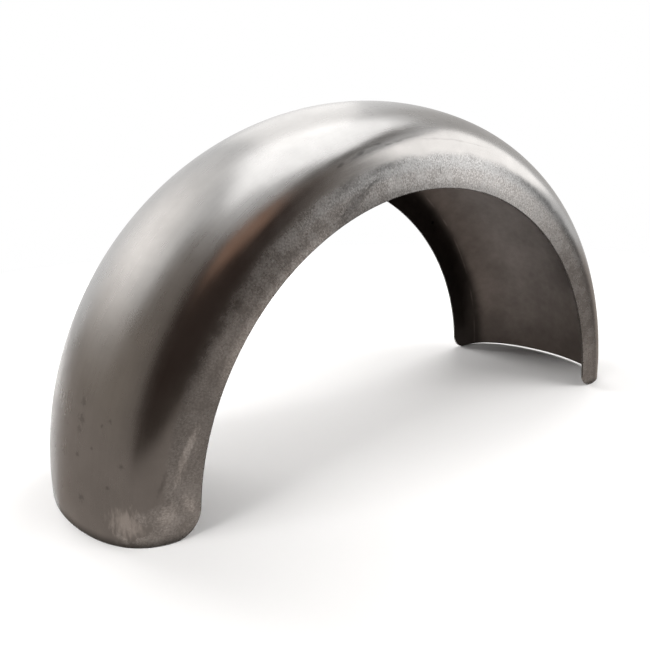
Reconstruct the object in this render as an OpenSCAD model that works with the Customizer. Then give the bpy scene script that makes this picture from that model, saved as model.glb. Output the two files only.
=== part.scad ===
// Rear fender of a motorcycle: one shell pressed from steel sheet.
// It follows half of the wheel's circle. The section has a shallow crown, a
// tighter flank, a round shoulder and two flat, parallel side walls. Where the
// walls meet the ends of the fender, their corners are rounded.
// Millimetres. The wheel's axle lies along Y, halfway along X at ground level
// (z = 0), and the fender stands on its two ends with its top at +Z.

/* [Arch] */
// Outer radius of the fender over the middle of the crown
crown_radius = 340; // [290:1:420]
// Depth of the sides, from the top of the crown to the free edge
side_depth = 83; // [74:1:150]
// Angle by which the rear end rises from its wall tips to its crown
rear_end_rise = 2.9; // [0:0.1:8]

/* [Section] */
// Width over the two side walls
overall_width = 215; // [180:1:260]
// Thickness of the steel sheet
sheet = 2; // [1:0.1:4]
// Slope at which the crown gives way to the flank
crown_edge_slope = 18.7; // [14:0.1:24]
// Radius of the flank between the crown and the shoulder
flank_radius = 96; // [75:1:120]
// Slope at which the flank gives way to the shoulder
flank_edge_slope = 37.5; // [30:0.1:44]
// Radius of the shoulder, which turns down into the side wall
shoulder_radius = 51.5; // [40:0.5:60]

/* [Corners] */
// Radius of the wall corners at the front end
front_corner_radius = 25; // [6:0.5:40]
// Radius of the wall corners at the rear end
rear_corner_radius = 19; // [6:0.5:40]

/* [Hidden] */
$fn = 240;
steel_colour = [0.50, 0.48, 0.46];
edge_radius = crown_radius - side_depth;
half_width = overall_width / 2;
// Angle between two points along an arc of the section
arc_step = 2.4;
// How far a cutter runs past the sheet that it trims
overrun = 5;

// The crown, flank and shoulder are arcs that follow on smoothly. The crown's
// radius is the one that brings the side walls to the overall width.
shoulder_share = (flank_radius - shoulder_radius) * sin(flank_edge_slope);
crown_share = half_width - shoulder_radius - shoulder_share;
crown_arc_radius = flank_radius + crown_share / sin(crown_edge_slope);

// Centres of the three arcs in the section, as [radius from the axle, height along it]
crown_centre = [crown_radius - crown_arc_radius, 0];
flank_centre = crown_centre
    + (crown_arc_radius - flank_radius) * [cos(crown_edge_slope), sin(crown_edge_slope)];
shoulder_centre = flank_centre
    + (flank_radius - shoulder_radius) * [cos(flank_edge_slope), sin(flank_edge_slope)];

// Points of an arc after its first one, at most one arc step apart
function arc_points(centre, radius, from_slope, to_slope) =
    let (steps = ceil(abs(to_slope - from_slope) / arc_step))
    [for (i = [1:steps])
        let (slope = from_slope + (to_slope - from_slope) * i / steps)
        centre + radius * [cos(slope), sin(slope)]];

// One face of the sheet from the middle of the crown to the free edge, where
// depth is how far the face lies below the outer one
function half_face(depth) = concat(
    [[crown_radius - depth, 0]],
    arc_points(crown_centre, crown_arc_radius - depth, 0, crown_edge_slope),
    arc_points(flank_centre, flank_radius - depth, crown_edge_slope, flank_edge_slope),
    arc_points(shoulder_centre, shoulder_radius - depth, flank_edge_slope, 90),
    [[edge_radius, half_width - depth]]
);

function reversed(points) = [for (i = [len(points) - 1:-1:0]) points[i]];
function mirrored(points) = [for (p = points) [p[0], -p[1]]];

// The same face from one free edge over the crown to the other
function whole_face(depth) = concat(
    reversed(half_face(depth)),
    [for (i = [1:len(half_face(depth)) - 1]) mirrored(half_face(depth))[i]]
);

// The bent sheet as one closed outline: its outer face, then back along its inner one
module fender_section() {
    polygon(concat(whole_face(0), reversed(whole_face(sheet))));
}

// The section carried round half of the wheel, from ground to ground
module pressed_arch() {
    rotate([90, 0, 0])
        rotate_extrude(angle = 180)
            fender_section();
}

// A side view outline, drawn as [x, z], cut through the whole width
module cut_across(width) {
    rotate([90, 0, 0])
        translate([0, 0, -width / 2])
            linear_extrude(height = width)
                children();
}

// What the end at +X loses below its rounded wall corner: the corner's round
// sits on the ground and on the free edge, and from there the end rises.
module corner_cut(corner_radius, rise) {
    centre_distance = edge_radius + corner_radius;
    centre = [sqrt(pow(centre_distance, 2) - pow(corner_radius, 2)), corner_radius];
    inward = -centre / centre_distance;
    down = [sin(rise), -cos(rise)];
    past_corner = corner_radius + overrun;
    cut_across(overall_width + 2 * overrun)
        difference() {
            polygon([
                centre,
                centre + past_corner * inward,
                [(centre + past_corner * inward)[0], -overrun],
                centre + past_corner * down
            ]);
            translate(centre) circle(r = corner_radius);
        }
}

// What the end at +X loses under the line that rises from its wall tips
module rise_cut(corner_radius, rise) {
    centre_distance = edge_radius + corner_radius;
    centre = [sqrt(pow(centre_distance, 2) - pow(corner_radius, 2)), corner_radius];
    reach = crown_radius - centre[0] + overrun;
    cut_across(overall_width + 2 * overrun)
        translate(centre)
            rotate(rise)
                translate([0, -corner_radius - reach])
                    square([reach, reach]);
}

// The pressed sheet steel shell, with the front end at -X
module fender_shell() {
    color(steel_colour)
        difference() {
            pressed_arch();
            mirror([1, 0, 0]) corner_cut(front_corner_radius, 0);
            corner_cut(rear_corner_radius, rear_end_rise);
            rise_cut(rear_corner_radius, rear_end_rise);
        }
}

fender_shell();
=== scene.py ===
"""A motorcycle rear fender of bare pressed steel, standing on its two ends on a pale floor."""

from math import acos, asin, cos, hypot, pi, radians, sin, sqrt

import bpy
from mathutils import Matrix, Vector


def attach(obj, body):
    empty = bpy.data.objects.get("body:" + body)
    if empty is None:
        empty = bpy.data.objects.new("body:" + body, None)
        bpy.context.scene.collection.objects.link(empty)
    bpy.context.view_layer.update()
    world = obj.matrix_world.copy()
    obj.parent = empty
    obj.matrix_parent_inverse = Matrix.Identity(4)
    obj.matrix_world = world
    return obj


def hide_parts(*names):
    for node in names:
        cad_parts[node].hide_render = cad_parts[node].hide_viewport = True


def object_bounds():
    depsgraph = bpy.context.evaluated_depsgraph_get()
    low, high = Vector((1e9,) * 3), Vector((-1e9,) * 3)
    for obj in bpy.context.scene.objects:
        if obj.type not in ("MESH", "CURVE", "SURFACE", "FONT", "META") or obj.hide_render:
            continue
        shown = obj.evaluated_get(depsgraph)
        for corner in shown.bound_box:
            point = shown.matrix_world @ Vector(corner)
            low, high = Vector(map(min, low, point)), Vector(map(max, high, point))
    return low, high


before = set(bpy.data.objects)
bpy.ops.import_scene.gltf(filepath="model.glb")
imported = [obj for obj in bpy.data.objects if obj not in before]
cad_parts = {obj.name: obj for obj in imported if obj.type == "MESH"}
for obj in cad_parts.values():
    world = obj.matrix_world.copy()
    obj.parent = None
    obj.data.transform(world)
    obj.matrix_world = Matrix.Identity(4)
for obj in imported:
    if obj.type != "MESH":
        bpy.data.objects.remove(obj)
cad_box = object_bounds()

# The fender's sizes, in metres. Its length and width come from the frame.
MM = 0.001
LOW, HIGH = cad_box
CROWN_RADIUS = -LOW[0]
HALF_WIDTH = HIGH[1]
SIDE_DEPTH = 83 * MM
SHEET = 2 * MM
CROWN_EDGE_SLOPE = radians(18.7)
FLANK_RADIUS = 96 * MM
FLANK_EDGE_SLOPE = radians(37.5)
SHOULDER_RADIUS = 51.5 * MM
FRONT_CORNER_RADIUS = 25 * MM
REAR_CORNER_RADIUS = 19 * MM
# The photograph shows the rear end's crown about 1 mm lower than the solid's
REAR_END_RISE = radians(2.0)
EDGE_RADIUS = CROWN_RADIUS - SIDE_DEPTH

# Rounding of the sheet's own edges, and the steps of each round
EDGE_ROUND = 0.35 * MM
ROUNDING_STEPS = 4

# The camera of the photograph: its direction and distance from the point that it looks at, and
# its focal length in pixels of the photograph's width
CAMERA_AZIMUTH = radians(35.375)
CAMERA_HEIGHT = radians(15.475)
CAMERA_ROLL = radians(-1.4395)
CAMERA_DISTANCE = 0.727634
CAMERA_TARGET = Vector((-0.037857, 0.023568, 0.106288))
FOCAL_PIXELS = 659.24
FRAME_PIXELS = 650
SENSOR = 36.0


def add_camera():
    """The camera of the photograph: turned about its target, then rolled about its own axis."""
    towards_camera = Vector((
        -sin(CAMERA_AZIMUTH) * cos(CAMERA_HEIGHT),
        -cos(CAMERA_AZIMUTH) * cos(CAMERA_HEIGHT),
        sin(CAMERA_HEIGHT),
    ))
    right = Vector((cos(CAMERA_AZIMUTH), -sin(CAMERA_AZIMUTH), 0))
    up = right.cross(-towards_camera)
    rolled_right = right * cos(CAMERA_ROLL) + up * sin(CAMERA_ROLL)
    rolled_up = up * cos(CAMERA_ROLL) - right * sin(CAMERA_ROLL)
    turn = Matrix((rolled_right, rolled_up, towards_camera)).transposed()
    data = bpy.data.cameras.new("camera")
    data.sensor_width = SENSOR
    data.lens = SENSOR * FOCAL_PIXELS / FRAME_PIXELS
    data.clip_start = 10 * MM
    camera = bpy.data.objects.new("camera", data)
    camera.matrix_world = Matrix.Translation(CAMERA_TARGET + CAMERA_DISTANCE * towards_camera) @ turn.to_4x4()
    bpy.context.collection.objects.link(camera)
    bpy.context.scene.camera = camera


def section_arcs():
    """Centre, radius and end slopes of the crown, flank and shoulder arcs of half the section."""
    shoulder_share = (FLANK_RADIUS - SHOULDER_RADIUS) * sin(FLANK_EDGE_SLOPE)
    crown_share = HALF_WIDTH - SHOULDER_RADIUS - shoulder_share
    crown_arc = FLANK_RADIUS + crown_share / sin(CROWN_EDGE_SLOPE)
    crown = Vector((CROWN_RADIUS - crown_arc, 0))
    to_flank = Vector((cos(CROWN_EDGE_SLOPE), sin(CROWN_EDGE_SLOPE)))
    flank = crown + (crown_arc - FLANK_RADIUS) * to_flank
    to_shoulder = Vector((cos(FLANK_EDGE_SLOPE), sin(FLANK_EDGE_SLOPE)))
    shoulder = flank + (FLANK_RADIUS - SHOULDER_RADIUS) * to_shoulder
    return [
        (crown, crown_arc, 0, CROWN_EDGE_SLOPE),
        (flank, FLANK_RADIUS, CROWN_EDGE_SLOPE, FLANK_EDGE_SLOPE),
        (shoulder, SHOULDER_RADIUS, FLANK_EDGE_SLOPE, pi / 2),
    ]


# The number of steps of each arc of the section, of the flat wall and of the way round the wheel
ARC_STEPS = (14, 10, 22)
WALL_STEPS = 18
ROUND_STEPS = 300


def half_section(inset, depth):
    """Points of half the section from crown to free edge, at a depth under the outer face."""
    points = [(CROWN_RADIUS - depth, 0.0)]
    for (centre, radius, low, high), steps in zip(section_arcs(), ARC_STEPS):
        for i in range(1, steps + 1):
            slope = low + (high - low) * i / steps
            points.append((
                centre[0] + (radius - depth) * cos(slope),
                centre[1] + (radius - depth) * sin(slope),
            ))
    # The flat wall's steps grow shorter towards its free edge
    top = points[-1][0]
    edge = EDGE_RADIUS + inset
    for i in range(1, WALL_STEPS + 1):
        rest = 1 - i / WALL_STEPS
        points.append((edge + (top - edge) * rest ** 2, HALF_WIDTH - depth))
    return points


def whole_section(inset, depth):
    """The section from one free edge over the crown to the other, as (radius, y)."""
    half = half_section(inset, depth)
    return [(r, -y) for r, y in reversed(half)] + half[1:]


def end_angle(radius, corner_radius, rise, inset):
    """
    Angle from level at which an end of the fender stops at a radius, by its rounded corner or its end line.
    """
    far = EDGE_RADIUS + corner_radius
    centre_height = corner_radius
    centre_out = sqrt(far ** 2 - centre_height ** 2)
    fillet = corner_radius - inset
    touch = (centre_out + fillet * sin(rise), centre_height - fillet * cos(rise))
    if radius >= hypot(*touch):
        # The end line passes the touching point with the slope of the rise
        offset = touch[1] * cos(rise) - touch[0] * sin(rise)
        return rise + asin(offset / radius)
    bend = (radius ** 2 + far ** 2 - fillet ** 2) / (2 * radius * far)
    return asin(centre_height / far) - acos(min(1.0, bend))


# The first steps in from an end are short, so that the shading stays crisp there
END_STEPS = (0.0, 0.0008, 0.003)


def round_shares():
    """Shares of the way round the wheel, from the rear end to the front end."""
    inner = [END_STEPS[-1] + (1 - 2 * END_STEPS[-1]) * i / ROUND_STEPS for i in range(1, ROUND_STEPS)]
    return list(END_STEPS) + inner + [1 - s for s in reversed(END_STEPS)]


def shell_point(radius, y, share, inset):
    """A point of the shell, by its place in the section and its share of the way round."""
    rear = end_angle(radius, REAR_CORNER_RADIUS, REAR_END_RISE, inset)
    front = pi - end_angle(radius, FRONT_CORNER_RADIUS, 0.0, inset)
    angle = rear + (front - rear) * share
    return (radius * cos(angle), y, radius * sin(angle))


def rim_rows():
    """Inset and depth of the rows that round the sheet's edge from its outer to its inner face."""
    bend = [i * pi / (2 * ROUNDING_STEPS) for i in range(1, ROUNDING_STEPS)]
    rows = [(EDGE_ROUND * (1 - sin(a)), EDGE_ROUND * (1 - cos(a))) for a in bend] + [(0.0, EDGE_ROUND)]
    return rows + [(inset, SHEET - depth) for inset, depth in reversed(rows)]


def build_shell():
    """The pressed shell as one closed mesh: outer face, inner face and a rounded rim between them."""
    shares = round_shares()
    vertices = []
    faces = []

    def grid(depth):
        section = whole_section(EDGE_ROUND, depth)
        first = len(vertices)
        for radius, y in section:
            for share in shares:
                vertices.append(shell_point(radius, y, share, EDGE_ROUND))
        return first, len(section)

    outer, across = grid(0.0)
    inner, _ = grid(SHEET)
    along = len(shares)
    for i in range(across - 1):
        for j in range(along - 1):
            a, b = i * along + j, (i + 1) * along + j
            faces.append((outer + a, outer + b, outer + b + 1, outer + a + 1))
            faces.append((inner + a, inner + a + 1, inner + b + 1, inner + b))

    border = [(i, 0) for i in range(across)]
    border += [(across - 1, j) for j in range(1, along)]
    border += [(i, along - 1) for i in range(across - 2, -1, -1)]
    border += [(0, j) for j in range(along - 2, 0, -1)]
    rings = [[outer + i * along + j for i, j in border]]
    for inset, depth in rim_rows():
        section = whole_section(inset, depth)
        rings.append(list(range(len(vertices), len(vertices) + len(border))))
        vertices.extend(shell_point(*section[i], shares[j], inset) for i, j in border)
    rings.append([inner + i * along + j for i, j in border])
    for upper, lower in zip(rings, rings[1:]):
        for k in range(len(border)):
            n = (k + 1) % len(border)
            faces.append((upper[k], upper[n], lower[n], lower[k]))

    mesh = bpy.data.meshes.new("pressed_shell")
    mesh.from_pydata(vertices, [], faces)
    mesh.polygons.foreach_set("use_smooth", [True] * len(mesh.polygons))
    # Outer and inner faces alternate over the grids, and the rim counts as outer
    grid_faces = 2 * (across - 1) * (along - 1)
    slots = [i % 2 if i < grid_faces else 0 for i in range(len(faces))]
    mesh.polygons.foreach_set("material_index", slots)
    shell = bpy.data.objects.new("pressed_shell", mesh)
    bpy.context.collection.objects.link(shell)
    return shell


class Graph:
    """A short way to write a material's nodes. Numbers and sockets can be mixed as inputs."""

    def __init__(self, name):
        self.material = bpy.data.materials.new(name)
        self.material.use_nodes = True
        self.tree = self.material.node_tree
        self.shader = self.tree.nodes["Principled BSDF"]

    def feed(self, socket, value):
        """Links another socket to this one, or writes a number or colour into it."""
        if isinstance(value, bpy.types.NodeSocket):
            self.tree.links.new(value, socket)
        else:
            socket.default_value = value

    def node(self, kind, inputs=(), **settings):
        made = self.tree.nodes.new(kind)
        for key, value in settings.items():
            setattr(made, key, value)
        for key, value in dict(inputs).items():
            self.feed(made.inputs[key], value)
        return made

    def math(self, operation, *values):
        return self.node("ShaderNodeMath", dict(enumerate(values)), operation=operation).outputs[0]

    def plus(self, first, second):
        return self.math("ADD", first, second)

    def minus(self, first, second):
        return self.math("SUBTRACT", first, second)

    def times(self, product, *others):
        for other in others:
            product = self.math("MULTIPLY", product, other)
        return product

    def scaled(self, vector, factors):
        """A vector or colour times another, or times one number."""
        return self.node("ShaderNodeVectorMath", {0: vector, 1: factors}, operation="MULTIPLY").outputs[0]

    def length(self, vector):
        return self.node("ShaderNodeVectorMath", {0: vector}, operation="LENGTH").outputs["Value"]

    def ramp(self, value, low, high, to_low=0.0, to_high=1.0):
        """Smooth change from one value to another as the input goes from low to high."""
        inputs = {"Value": value, "From Min": low, "From Max": high, "To Min": to_low, "To Max": to_high}
        return self.node("ShaderNodeMapRange", inputs, interpolation_type="SMOOTHSTEP").outputs[0]

    def noise(self, vector, scale, detail, roughness=0.5, distortion=0.0):
        """Noise of a scale, which is one number or one for each direction."""
        if isinstance(scale, tuple):
            vector, scale = self.scaled(vector, scale), 1
        inputs = {
            "Vector": vector,
            "Scale": scale,
            "Detail": detail,
            "Roughness": roughness,
            "Distortion": distortion,
        }
        return self.node("ShaderNodeTexNoise", inputs).outputs["Fac"]

    def swing(self, noise, size):
        """A noise that swings evenly about 0, over a size."""
        return self.times(self.minus(noise, 0.5), size)

    def mix(self, share, first, second):
        inputs = {0: share, 6: first, 7: second}
        return self.node("ShaderNodeMix", inputs, data_type="RGBA").outputs[2]

    def mix_number(self, share, first, second):
        return self.node("ShaderNodeMix", {0: share, 2: first, 3: second}).outputs[0]

    def metal(self, colour, roughness):
        """Bare metal of a colour and roughness."""
        self.feed(self.shader.inputs["Base Color"], colour)
        self.feed(self.shader.inputs["Roughness"], roughness)
        self.shader.inputs["Metallic"].default_value = 1.0


def sheet_coordinates(graph):
    """Place on the fender: angle round the wheel, radius, y and z, and a flat vector for textures."""
    place = graph.node("ShaderNodeTexCoord").outputs["Object"]
    x, y, z = graph.node("ShaderNodeSeparateXYZ", {0: place}).outputs
    radius = graph.math("SQRT", graph.plus(graph.times(x, x), graph.times(z, z)))
    angle = graph.math("ARCTAN2", z, x)
    around = graph.times(angle, CROWN_RADIUS)
    flat = graph.node("ShaderNodeCombineXYZ", {0: around, 1: radius, 2: y}).outputs[0]
    return angle, radius, y, z, flat


# A noise has a scale, a detail, and at times a roughness and a distortion. The scale is in features per
# metre. It is the same in every direction, or one each for round the wheel, along its radius and along y.
# Most of a noise's values lie between these two.
NOISE_RANGE = (0.3, 0.7)

# The rolled sheet of the crown and shoulder: its colour, a mottle, and fine lines round the wheel
ROLLED_STEEL = (0.335, 0.328, 0.322)
MOTTLE_NOISE = (32, 4, 0.6)
MOTTLE_TONE = (0.95, 1.05)
DRAWN_NOISE = ((9, 330, 330), 3, 0.6)
DRAWN_TONE = (0.98, 1.02)
DRAWN_HEIGHT = 0.003 * MM
# Its roughness follows the sum of the lines and of another noise, which lies between these two
UNEVEN_NOISE = (45, 3)
TWO_NOISES_RANGE = (0.6, 1.4)
ROLLED_ROUGHNESS = (0.26, 0.32)
# The shoulder is smoother than the crown, by this much at the second radius
SMOOTH_SHOULDER = (316 * MM, 304 * MM)
SMOOTHER_BY = 0.07

# Small dark specks on the crown: angle round the wheel in degrees, y and radius in mm
SPECKS = (
    (161.4, -39, 3.0), (163.7, -40.5, 4.4), (165.2, -39.5, 2.4), (168.6, -41, 2.4), (174.6, -47.5, 3.2),
    (162.2, -72, 2.0), (167.8, -86, 2.0), (166.8, -58, 1.6), (171.4, -77, 1.7), (163.2, -66, 1.3),
)
# Their soft borders reach past their radii, they wobble, and they darken the sheet by this share
SPECK_SPREAD = 1.4
SPECK_NOISE = (330, 3, 0.6)
SPECK_WOBBLE = 3.0
SPECK_DEPTH = 0.27

# The walls are ground up to this radius, which wanders a little
GROUND_TO = 288 * MM
GROUND_WANDER = 11 * MM
GROUND_FADE = 4 * MM
WANDER_NOISE = (28, 3, 0.55)
# Close to the front end the grinding reaches higher, in patches. They start and are full at these angles,
# and at these distances from the middle of the crown.
FRONT_PATCHES = (radians(172), radians(176.5))
PATCH_SIDE = (66 * MM, 84 * MM)
PATCH_REACH = 30 * MM
PATCH_NOISE = (55, 3, 0.55)
PATCH_FADE = (0.36, 0.58)

# Grinding leaves soft blotches, fine grains and short cross strokes, which add up to the texture
GROUND_LIGHT = (0.43, 0.431, 0.432, 1)
GROUND_DARK = (0.325, 0.321, 0.317, 1)
BLOTCH_NOISE = (62, 5, 0.6)
GRAIN_NOISE = (560, 2, 0.6)
STROKE_NOISE = ((850, 240, 240), 2, 0.5, 0.8)
BLOTCH_SHARE = 0.5
GRAIN_SHARE = 0.4
STROKE_SHARE = 0.1
TINT_FADE = (0.38, 0.62)
GROUND_HEIGHT = 0.05 * MM
GROUND_ROUGHNESS = (0.23, 0.31)
# The grains brighten and darken the steel too, less so down the front leg
GRAIN_FADE = (0.32, 0.68)
GRAIN_TONE = 0.2
LEG_GRAIN = (radians(125), radians(155))
LEG_GRAIN_LEFT = 0.4

# Rubbed strips on the front leg's walls, and the patches there, are brighter
RUBBED = (radians(158), radians(166))
RUBBED_NOISE = ((14, 48, 48), 3, 0.55)
RUBBED_FADE = (0.50, 0.68)
BRIGHTER_BY = 0.22
# Near the top the upper wall is duller, between these angles and radii
TOP_DULL_ANGLES = (radians(122), radians(102))
TOP_DULL_RADII = (272 * MM, 287 * MM)
TOP_DULL_BY = 0.38
# The front leg's wall is duller between these angles
LEG_DULL = (radians(145), radians(153))
LEG_BRIGHT = (radians(163), radians(170))
LEG_DULL_BY = 0.17
# Towards the rear the walls carry painted shade, a darker reflection, though the very end is brighter
REAR_SHADE = (radians(84), radians(50))
REAR_SHADE_TONE = 0.68
REAR_BRIGHT = (radians(18), radians(7))
REAR_BRIGHT_TONE = 1.35
# Along the free edge the wall carries a painted shade line near the top and is brighter down the front leg
EDGE_BAND = (268 * MM, 259 * MM)
EDGE_START = (radians(55), radians(78))
EDGE_STOP = (radians(158), radians(146))
EDGE_TURN = (radians(112), radians(125))
EDGE_CHANGE = (-0.3, 0.65)

# Longer marks on the wall and shoulder at -Y. Each has its angle round the wheel in degrees, its radius,
# half length and half width in mm, its tilt in degrees, and how much it brightens or darkens the steel.
MARKS = (
    (164.6, 274.4, 34, 4.6, 9, 0.65), (173.5, 267.5, 13, 6.5, -15, 0.5), (176.2, 312, 15, 11, 0, 0.75),
    (175.0, 285, 16, 9, 10, 0.35), (169.8, 290, 17, 2, 11, -0.25), (110.8, 269.6, 36, 7.0, -13, -0.42),
    (103.5, 285.5, 26, 3.2, -2, -0.22), (112.5, 285, 24, 3.6, -8, -0.22), (89.4, 273.2, 3.6, 1.1, 75, -0.45),
    (104.5, 301.5, 40, 1.7, -2, -0.2), (97.0, 303.5, 26, 1.3, -4, -0.2), (84.0, 300.8, 55, 1.1, 1, -0.12),
    (105.6, 277.5, 13, 2.2, -12, -0.3), (102.4, 272.0, 9, 5.5, -10, 0.16), (110.6, 301.2, 6, 1.2, -6, -0.3),
    (106.3, 302.6, 9, 1.5, -5, -0.34), (102.0, 304.9, 5, 1.1, 0, -0.28),
)
# They reach this far in from the wall. Their unevenness and their soft border are shares of their size.
MARK_REACH = 90 * MM
MARK_NOISE = ((110, 380, 380), 3, 0.6)
MARK_UNEVEN = 2.0
MARK_FADE = (1.15, 0.2)

# The sheet's cut edge is dark, and both ends carry painted contact shade just above the ground
CUT_EDGE = (EDGE_RADIUS + 0.3 * MM, EDGE_RADIUS + 0.9 * MM)
CUT_EDGE_TONE = 0.35
CONTACT_SHADE_TO = 9 * MM
CONTACT_SHADE_TONE = 0.3


# The share of a spot's size over which it is fully dark
SPOT_CORE = 0.2


def spot(graph, first, second, size, wobble):
    """1 inside a round spot with a soft, uneven border, from the two distances to its centre."""
    away = graph.math("SQRT", graph.plus(graph.times(first, first), graph.times(second, second)))
    return graph.ramp(graph.plus(away, graph.times(wobble, size)), size, SPOT_CORE * size)


def specks(graph, angle, y, flat):
    """How much of its colour the sheet keeps at the specks: 1 away from them."""
    wobble = graph.swing(graph.noise(flat, *SPECK_NOISE), SPECK_WOBBLE)
    kept = 1.0
    for degrees, side, size in SPECKS:
        along = graph.times(graph.minus(angle, radians(degrees)), CROWN_RADIUS)
        across = graph.minus(y, side * MM)
        dark = spot(graph, along, across, SPECK_SPREAD * size * MM, wobble)
        kept = graph.times(graph.minus(1.0, graph.times(dark, SPECK_DEPTH)), kept)
    return kept


def marks(graph, flat):
    """How much the marks brighten or darken the steel: 0 away from them."""
    uneven = graph.swing(graph.noise(flat, *MARK_NOISE), MARK_UNEVEN)
    total = 0.0
    for degrees, radius, length, width, tilt, change in MARKS:
        inputs = {
            "Vector": flat,
            "Location": (radians(degrees) * CROWN_RADIUS, radius * MM, -HALF_WIDTH),
            "Rotation": (0, 0, radians(tilt)),
            "Scale": (length * MM, width * MM, MARK_REACH),
        }
        place = graph.node("ShaderNodeMapping", inputs, vector_type="TEXTURE").outputs[0]
        here = graph.ramp(graph.plus(graph.length(place), uneven), *MARK_FADE, 0.0, change)
        total = graph.plus(here, total)
    return total


def grinding(graph, angle, radius, y, flat):
    """Where the sheet is ground, as a share, and where it is ground in the patches near the front end."""
    near_front = graph.times(
        graph.ramp(angle, *FRONT_PATCHES),
        graph.ramp(graph.math("ABSOLUTE", y), *PATCH_SIDE),
    )
    patches = graph.times(graph.ramp(graph.noise(flat, *PATCH_NOISE), *PATCH_FADE), near_front)
    wander = graph.swing(graph.noise(flat, *WANDER_NOISE), GROUND_WANDER)
    border = graph.minus(graph.plus(radius, wander), graph.times(patches, PATCH_REACH))
    return graph.ramp(border, GROUND_TO + GROUND_FADE, GROUND_TO - GROUND_FADE), patches


def wall_tone(graph, angle, radius, flat, patches):
    """How bright the ground walls are along their length, with painted shade towards the rear and along the
    free edge near the top: 1 where they are plain.
    """
    rubbed = graph.times(
        graph.ramp(angle, *RUBBED),
        graph.ramp(graph.noise(flat, *RUBBED_NOISE), *RUBBED_FADE),
    )
    brighter = graph.times(graph.math("MAXIMUM", rubbed, patches), BRIGHTER_BY)
    top_dull = graph.times(
        graph.ramp(angle, *TOP_DULL_ANGLES, 0.0, TOP_DULL_BY),
        graph.ramp(radius, *TOP_DULL_RADII),
    )
    leg_dull = graph.times(graph.ramp(angle, *LEG_DULL), graph.ramp(angle, *LEG_BRIGHT, LEG_DULL_BY, 0.0))
    # Painted shade makes the walls darker towards the rear, and the very end is brighter
    towards_rear = graph.times(
        graph.ramp(angle, *REAR_SHADE, 1.0, REAR_SHADE_TONE),
        graph.ramp(angle, *REAR_BRIGHT, 1.0, REAR_BRIGHT_TONE),
    )
    # Painted shade along the free edge near the top, and brighter down the front leg
    along_edge = graph.times(
        graph.ramp(angle, *EDGE_START),
        graph.ramp(angle, *EDGE_STOP),
        graph.ramp(radius, *EDGE_BAND),
        graph.ramp(angle, *EDGE_TURN, *EDGE_CHANGE),
    )
    tone = graph.minus(graph.plus(towards_rear, brighter), graph.plus(top_dull, leg_dull))
    return graph.plus(tone, along_edge)


def outer_steel():
    """Satin rolled sheet over the crown, ground bare along the walls."""
    graph = Graph("outer_steel")
    angle, radius, y, z, flat = sheet_coordinates(graph)

    # The ground walls
    ground, patches = grinding(graph, angle, radius, y, flat)
    blotches = graph.noise(flat, *BLOTCH_NOISE)
    grains = graph.noise(flat, *GRAIN_NOISE)
    strokes = graph.noise(flat, *STROKE_NOISE)
    fine = graph.plus(graph.times(grains, GRAIN_SHARE), graph.times(strokes, STROKE_SHARE))
    texture = graph.plus(graph.times(blotches, BLOTCH_SHARE), fine)
    speckle = graph.times(
        graph.ramp(grains, *GRAIN_FADE, -GRAIN_TONE, GRAIN_TONE),
        graph.ramp(angle, *LEG_GRAIN, 1.0, LEG_GRAIN_LEFT),
    )
    ground_tone = graph.times(wall_tone(graph, angle, radius, flat, patches), graph.plus(1.0, speckle))
    tinted = graph.mix(graph.ramp(texture, *TINT_FADE), GROUND_DARK, GROUND_LIGHT)
    ground_colour = graph.scaled(tinted, ground_tone)

    # The rolled sheet
    mottle = graph.ramp(graph.noise(flat, *MOTTLE_NOISE), *NOISE_RANGE, *MOTTLE_TONE)
    drawn = graph.noise(flat, *DRAWN_NOISE)
    rolled_tone = graph.times(mottle, graph.ramp(drawn, *NOISE_RANGE, *DRAWN_TONE))
    rolled_colour = graph.scaled(ROLLED_STEEL, graph.times(rolled_tone, specks(graph, angle, y, flat)))

    # Both together, with marks, the dark cut edge and the painted contact shade
    plain_colour = graph.mix(ground, rolled_colour, ground_colour)
    # Painted contact shade makes both ends darker towards the ground, and the cut edge is dark
    contact_shade_and_dark_edge = graph.times(
        graph.ramp(z, 0.0, CONTACT_SHADE_TO, CONTACT_SHADE_TONE, 1.0),
        graph.ramp(radius, *CUT_EDGE, CUT_EDGE_TONE, 1.0),
    )
    colour = graph.scaled(plain_colour, graph.times(graph.plus(1.0, marks(graph, flat)), contact_shade_and_dark_edge))

    uneven = graph.plus(graph.noise(flat, *UNEVEN_NOISE), drawn)
    rolled_roughness = graph.minus(
        graph.ramp(uneven, *TWO_NOISES_RANGE, *ROLLED_ROUGHNESS),
        graph.ramp(radius, *SMOOTH_SHOULDER, 0.0, SMOOTHER_BY),
    )
    ground_roughness = graph.ramp(blotches, *NOISE_RANGE, *GROUND_ROUGHNESS)
    graph.metal(colour, graph.mix_number(ground, rolled_roughness, ground_roughness))

    height = graph.plus(graph.times(texture, ground, GROUND_HEIGHT), graph.times(drawn, DRAWN_HEIGHT))
    bump = graph.node("ShaderNodeBump", {"Height": height, "Strength": 1.0, "Distance": 1.0})
    graph.feed(graph.shader.inputs["Normal"], bump.outputs[0])
    return graph.material


# The inside is darker, partly its rolling scale and partly painted shade under the arch, with clouds and
# small stains
INNER_SCALE_AND_SHADE = (0.19, 0.175, 0.168)
CLOUD_NOISE = (14, 4, 0.6)
CLOUD_TONE = (0.78, 1.14)
STAIN_NOISE = (110, 3, 0.6)
STAIN_TONE = (0.95, 1.05)
INNER_NOISE = (40, 3)
INNER_ROUGHNESS = (0.34, 0.42)
# Its walls carry painted shade below these radii, which lie higher towards the rear end
INNER_WALL = (298 * MM, 284 * MM)
INNER_WALL_SHADE_TONE = 0.32
WALL_TURN = (radians(40), radians(8))
WALL_RISE = 13 * MM
# Painted shade darkens it towards the ground below a height, and painted light makes it lighter on the far
# side
INNER_SHADE_TO = 80 * MM
INNER_LOW_SHADE_TONE = 0.58
ACROSS_SHADE_TONE = (0.85, 1.12)
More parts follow.
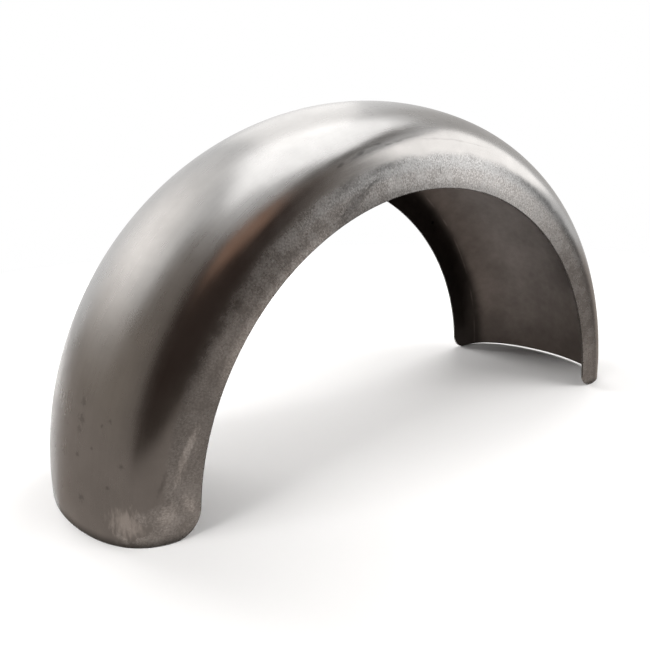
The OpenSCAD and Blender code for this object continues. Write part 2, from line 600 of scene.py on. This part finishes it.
# A lighter, broken line runs round it: its radius and half width
LIGHT_LINE_RADIUS = 294.6 * MM
LIGHT_LINE_WIDTH = 1.6 * MM
LIGHT_LINE_FADE = (0.4, 0.6)
LIGHT_LINE_BRIGHTER = 0.8
# A dark spot inside the far wall: its angle in degrees, radius and size in mm
INNER_SPOT = (42.9, 280.4, 3.2)
SPOT_NOISE = (400, 2)
SPOT_DEPTH = 0.8


def inner_steel():
    """The inside of the sheet."""
    graph = Graph("inner_steel")
    angle, radius, y, z, flat = sheet_coordinates(graph)
    uneven = graph.noise(flat, *INNER_NOISE)

    clouds = graph.ramp(graph.noise(flat, *CLOUD_NOISE), *NOISE_RANGE, *CLOUD_TONE)
    stains = graph.ramp(graph.noise(flat, *STAIN_NOISE), *NOISE_RANGE, *STAIN_TONE)
    # Painted shade on the inner walls, reaching higher towards the rear end
    lowered = graph.minus(radius, graph.ramp(angle, *WALL_TURN, 0.0, WALL_RISE))
    wall_shade = graph.ramp(lowered, *INNER_WALL, 1.0, INNER_WALL_SHADE_TONE)
    # Painted shade, darker towards the ground
    low_shade = graph.ramp(z, 0.0, INNER_SHADE_TO, INNER_LOW_SHADE_TONE, 1.0)
    # Painted light, lighter on the far side
    across = graph.ramp(y, -HALF_WIDTH, HALF_WIDTH, *ACROSS_SHADE_TONE)

    off_line = graph.math("ABSOLUTE", graph.minus(radius, LIGHT_LINE_RADIUS))
    light_line = graph.times(graph.ramp(off_line, LIGHT_LINE_WIDTH, 0.0), graph.ramp(uneven, *LIGHT_LINE_FADE))
    line = graph.plus(1.0, graph.times(light_line, LIGHT_LINE_BRIGHTER))

    degrees, spot_radius, size = INNER_SPOT
    along = graph.times(graph.minus(angle, radians(degrees)), spot_radius * MM)
    outward = graph.minus(radius, spot_radius * MM)
    wobble = graph.swing(graph.noise(flat, *SPOT_NOISE), 1.0)
    on_far_side = graph.ramp(y, 0.0, HALF_WIDTH / 2)
    dark = graph.times(spot(graph, along, outward, size * MM, wobble), on_far_side)
    around_spot = graph.minus(1.0, graph.times(dark, SPOT_DEPTH))

    tone = graph.times(clouds, stains, wall_shade, low_shade, across, line, around_spot)
    # The inside's base colour is partly painted shade under the arch
    graph.metal(graph.scaled(INNER_SCALE_AND_SHADE, tone), graph.ramp(uneven, *NOISE_RANGE, *INNER_ROUGHNESS))
    return graph.material


# The floor reaches this far on each side of the fender
FLOOR_REACH = 12.0
# It is lit like any pale floor near the fender, and fades to plain white between these distances
FLOOR_COLOUR = (0.9, 0.887, 0.876, 1)
FLOOR_FADE = (0.75, 1.3)


def seen_directly(tree):
    """1 for what the camera sees, by itself, mirrored in metal or through glass, and 0 for other light."""
    path = tree.nodes.new("ShaderNodeLightPath")
    total = path.outputs["Is Camera Ray"]
    for name in ("Is Glossy Ray", "Is Transmission Ray"):
        larger = tree.nodes.new("ShaderNodeMath")
        larger.operation = "MAXIMUM"
        tree.links.new(total, larger.inputs[0])
        tree.links.new(path.outputs[name], larger.inputs[1])
        total = larger.outputs[0]
    return total


def wide_square(name, z):
    """A mesh of one level square as large as the floor."""
    mesh = bpy.data.meshes.new(name)
    s = FLOOR_REACH
    mesh.from_pydata([(-s, -s, z), (s, -s, z), (s, s, z), (-s, s, z)], [], [(0, 1, 2, 3)])
    return mesh


def add_floor():
    """The plain pale floor."""
    floor = bpy.data.objects.new("floor", wide_square("floor", 0))
    bpy.context.collection.objects.link(floor)
    graph = Graph("pale_floor")
    graph.shader.inputs["Base Color"].default_value = FLOOR_COLOUR
    graph.shader.inputs["Roughness"].default_value = 1.0
    graph.shader.inputs["Specular IOR Level"].default_value = 0.0
    distance = graph.length(graph.node("ShaderNodeTexCoord").outputs["Object"])
    share = graph.times(graph.ramp(distance, *FLOOR_FADE), seen_directly(graph.tree))
    white = graph.node("ShaderNodeEmission", {"Color": (1, 1, 1, 1), "Strength": 1.0}).outputs[0]
    mixed = graph.node("ShaderNodeMixShader", {0: share, 1: graph.shader.outputs[0], 2: white}).outputs[0]
    graph.feed(graph.tree.nodes["Material Output"].inputs[0], mixed)
    floor.data.materials.append(graph.material)


def direction(azimuth, elevation):
    """Unit vector at an azimuth from +Y towards +X and an elevation, in degrees."""
    a, e = radians(azimuth), radians(elevation)
    return Vector((sin(a) * cos(e), cos(a) * cos(e), sin(e)))


# The point that the lamps face and the screens surround
LIT_POINT = Vector((0, 0, 0.2))
WHITE = (1, 1, 1)
# Slightly warm light, as in the sheen on the fender's sides
WARM = (1.0, 0.97, 0.94)


def add_area_light(name, azimuth, elevation, distance, width, height, radiance, colour, on_metal):
    """An area light that faces the fender, for the metal or else for the floor alone."""
    data = bpy.data.lights.new(name, "AREA")
    data.shape = "RECTANGLE"
    data.size = width
    data.size_y = height
    data.energy = radiance * pi * width * height
    data.color = colour
    light = bpy.data.objects.new(name, data)
    outward = direction(azimuth, elevation)
    light.location = LIT_POINT + distance * outward
    light.rotation_euler = (-outward).to_track_quat("-Z", "Y").to_euler()
    light.visible_camera = False
    light.visible_glossy = on_metal
    light.visible_diffuse = not on_metal
    bpy.context.collection.objects.link(light)


def add_card(mesh, azimuth, half_width, elevations, softness, colour, shift=0.0):
    """
    A card round the lit point, shifted along X, whose even glow fades out over its edges.
    The metal mirrors it, and it neither shades nor lights anything else.
    """
    graph = Graph(mesh.name)
    graph.tree.nodes.remove(graph.shader)
    place = graph.node("ShaderNodeTexCoord").outputs["Object"]
    x, y, z = graph.node("ShaderNodeSeparateXYZ", {0: place}).outputs
    across = graph.math("ABSOLUTE", graph.math("ARCTAN2", x, y))
    up = graph.math("ARCSINE", graph.math("DIVIDE", z, graph.length(place)))
    half, low, high, side_fade, end_fade = (radians(v) for v in (half_width, *elevations, *softness))
    share = graph.times(
        graph.ramp(across, half, half - side_fade),
        graph.ramp(up, low, low + end_fade),
        graph.ramp(up, high, high - end_fade),
    )
    glow = graph.node("ShaderNodeEmission", {"Color": colour}).outputs[0]
    clear = graph.node("ShaderNodeBsdfTransparent").outputs[0]
    mixed = graph.node("ShaderNodeMixShader", {0: share, 1: clear, 2: glow}).outputs[0]
    graph.feed(graph.tree.nodes["Material Output"].inputs[0], mixed)
    mesh.materials.append(graph.material)
    card = bpy.data.objects.new(mesh.name, mesh)
    card.location = LIT_POINT + Vector((shift, 0, 0))
    card.rotation_euler.z = -radians(azimuth)
    card.visible_camera = False
    card.visible_diffuse = False
    card.visible_shadow = False
    bpy.context.collection.objects.link(card)


# Rows and columns of a curved screen
SCREEN_STEPS = 24


def add_screen(name, azimuth, half_width, elevations, softness, distance, colour):
    """A curved screen with soft edges, round the studio."""
    vertices = []
    for i in range(SCREEN_STEPS + 1):
        for j in range(SCREEN_STEPS + 1):
            across = half_width * (2 * i / SCREEN_STEPS - 1)
            up = elevations[0] + (elevations[1] - elevations[0]) * j / SCREEN_STEPS
            vertices.append(distance * direction(across, up))
    row = SCREEN_STEPS + 1
    faces = [
        (i * row + j, (i + 1) * row + j, (i + 1) * row + j + 1, i * row + j + 1)
        for i in range(SCREEN_STEPS) for j in range(SCREEN_STEPS)
    ]
    mesh = bpy.data.meshes.new(name)
    mesh.from_pydata(vertices, [], faces)
    add_card(mesh, azimuth, half_width, elevations, softness, colour)


def add_floor_card(name, azimuth, half_width, elevations, softness, lift, colour, shift):
    """A card that lies on the floor round part of the fender."""
    mesh = wide_square(name, lift - LIT_POINT.z)
    add_card(mesh, azimuth, half_width, elevations, softness, colour, shift)


# How brightly the world lights the floor. It looks plain white to the camera and in the metal.
WORLD_FILL = 0.25


def add_world():
    """A white surrounding."""
    world = bpy.data.worlds.new("studio")
    world.use_nodes = True
    tree = world.node_tree
    strength = tree.nodes.new("ShaderNodeMapRange")
    tree.links.new(seen_directly(tree), strength.inputs["Value"])
    strength.inputs["To Min"].default_value = WORLD_FILL
    back = tree.nodes["Background"]
    back.inputs["Color"].default_value = (1, 1, 1, 1)
    tree.links.new(strength.outputs[0], back.inputs["Strength"])
    bpy.context.scene.world = world


# Square lamps for the floor alone: azimuth and elevation in degrees, and radiance
LAMP_DISTANCE = 2.0
LAMP_SIZE = 1.2
LAMPS = (
    ("left_lamp", -90, 40, 5.5),
    ("back_lamp", -15, 18, 8.3),
    ("high_right_lamp", 60, 50, 4.0),
    ("low_right_lamp", 120, 20, 2.7),
    ("front_lamp", 150, 30, 4.0),
)
# Softboxes for the metal alone: azimuth and elevation in degrees, distance, width, height, radiance
# and colour
SOFTBOXES = (
    ("top_box", 35, 80, 1.7, 1.65, 1.35, 1.85, WHITE),
    ("back_box", 26, 44, 2.2, 0.95, 1.8, 0.9, WARM),
    ("right_box", 117.5, 28.5, 1.9, 1.6, 1.2, 1.62, WARM),
    ("low_box", 130, 4, 1.3, 0.36, 0.5, 1.35, WARM),
)
# Cards on the floor and screens round the studio give the metal the grey and dark that it mirrors.
# Both have, in degrees, the azimuth of their middle, their half width, their lowest and highest
# elevation, and the softness of their sides and ends. A floor card then has its lift off the floor,
# its colour and its shift along X, and a screen its distance and colour. A nearer screen covers one
# that is farther away.
WHOLE_FLOOR = (-120, 30)
FLOOR_CARDS = (
    ("floor_card", -148, 154, WHOLE_FLOOR, (38, 38), 0.2 * MM, (0.395, 0.34, 0.302, 1), -CROWN_RADIUS),
    ("dark_floor_card", -157, 52, (-19, 10), (9, 9), 0.4 * MM, (0.06, 0.045, 0.036, 1), 0.0),
)
SCREENS = (
    ("grey_screen", -138, 84, (-30, 70), (20, 20), 5.0, (0.32, 0.277, 0.243, 1)),
    ("low_screen", -57.8, 41.6, (-30, 33), (14, 14), 4.95, (0.37, 0.318, 0.272, 1)),
    ("right_screen", 67, 24, (-8, 52), (12, 12), 4.95, (0.70, 0.68, 0.66, 1)),
    ("dark_screen", -152, 57, (-22, 62), (26, 26), 4.9, (0.055, 0.038, 0.031, 1)),
    ("warm_screen", -154, 27, (32, 62), (11, 11), 4.8, (0.50, 0.30, 0.21, 1)),
    ("upper_screen", 132, 54, (49.5, 66), (6, 6), 4.7, (0.27, 0.255, 0.24, 1)),
    ("left_glow", -29.5, 40.5, (1, 60), (40, 29.5), 4.6, (2.38, 2.3, 2.23, 1)),
)


def add_studio():
    """The floor, lamps, softboxes and screens round the fender."""
    add_world()
    add_floor()
    for name, azimuth, elevation, radiance in LAMPS:
        place = (azimuth, elevation, LAMP_DISTANCE)
        add_area_light(name, *place, LAMP_SIZE, LAMP_SIZE, radiance, WHITE, on_metal=False)
    for row in SOFTBOXES:
        add_area_light(*row, on_metal=True)
    for row in FLOOR_CARDS:
        add_floor_card(*row)
    for row in SCREENS:
        add_screen(*row)


add_camera()
add_studio()
shell = build_shell()
shell.data.materials.append(outer_steel())
shell.data.materials.append(inner_steel())
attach(shell, "root")
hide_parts("fender_shell")
bpy.context.scene.view_settings.view_transform = "Standard"
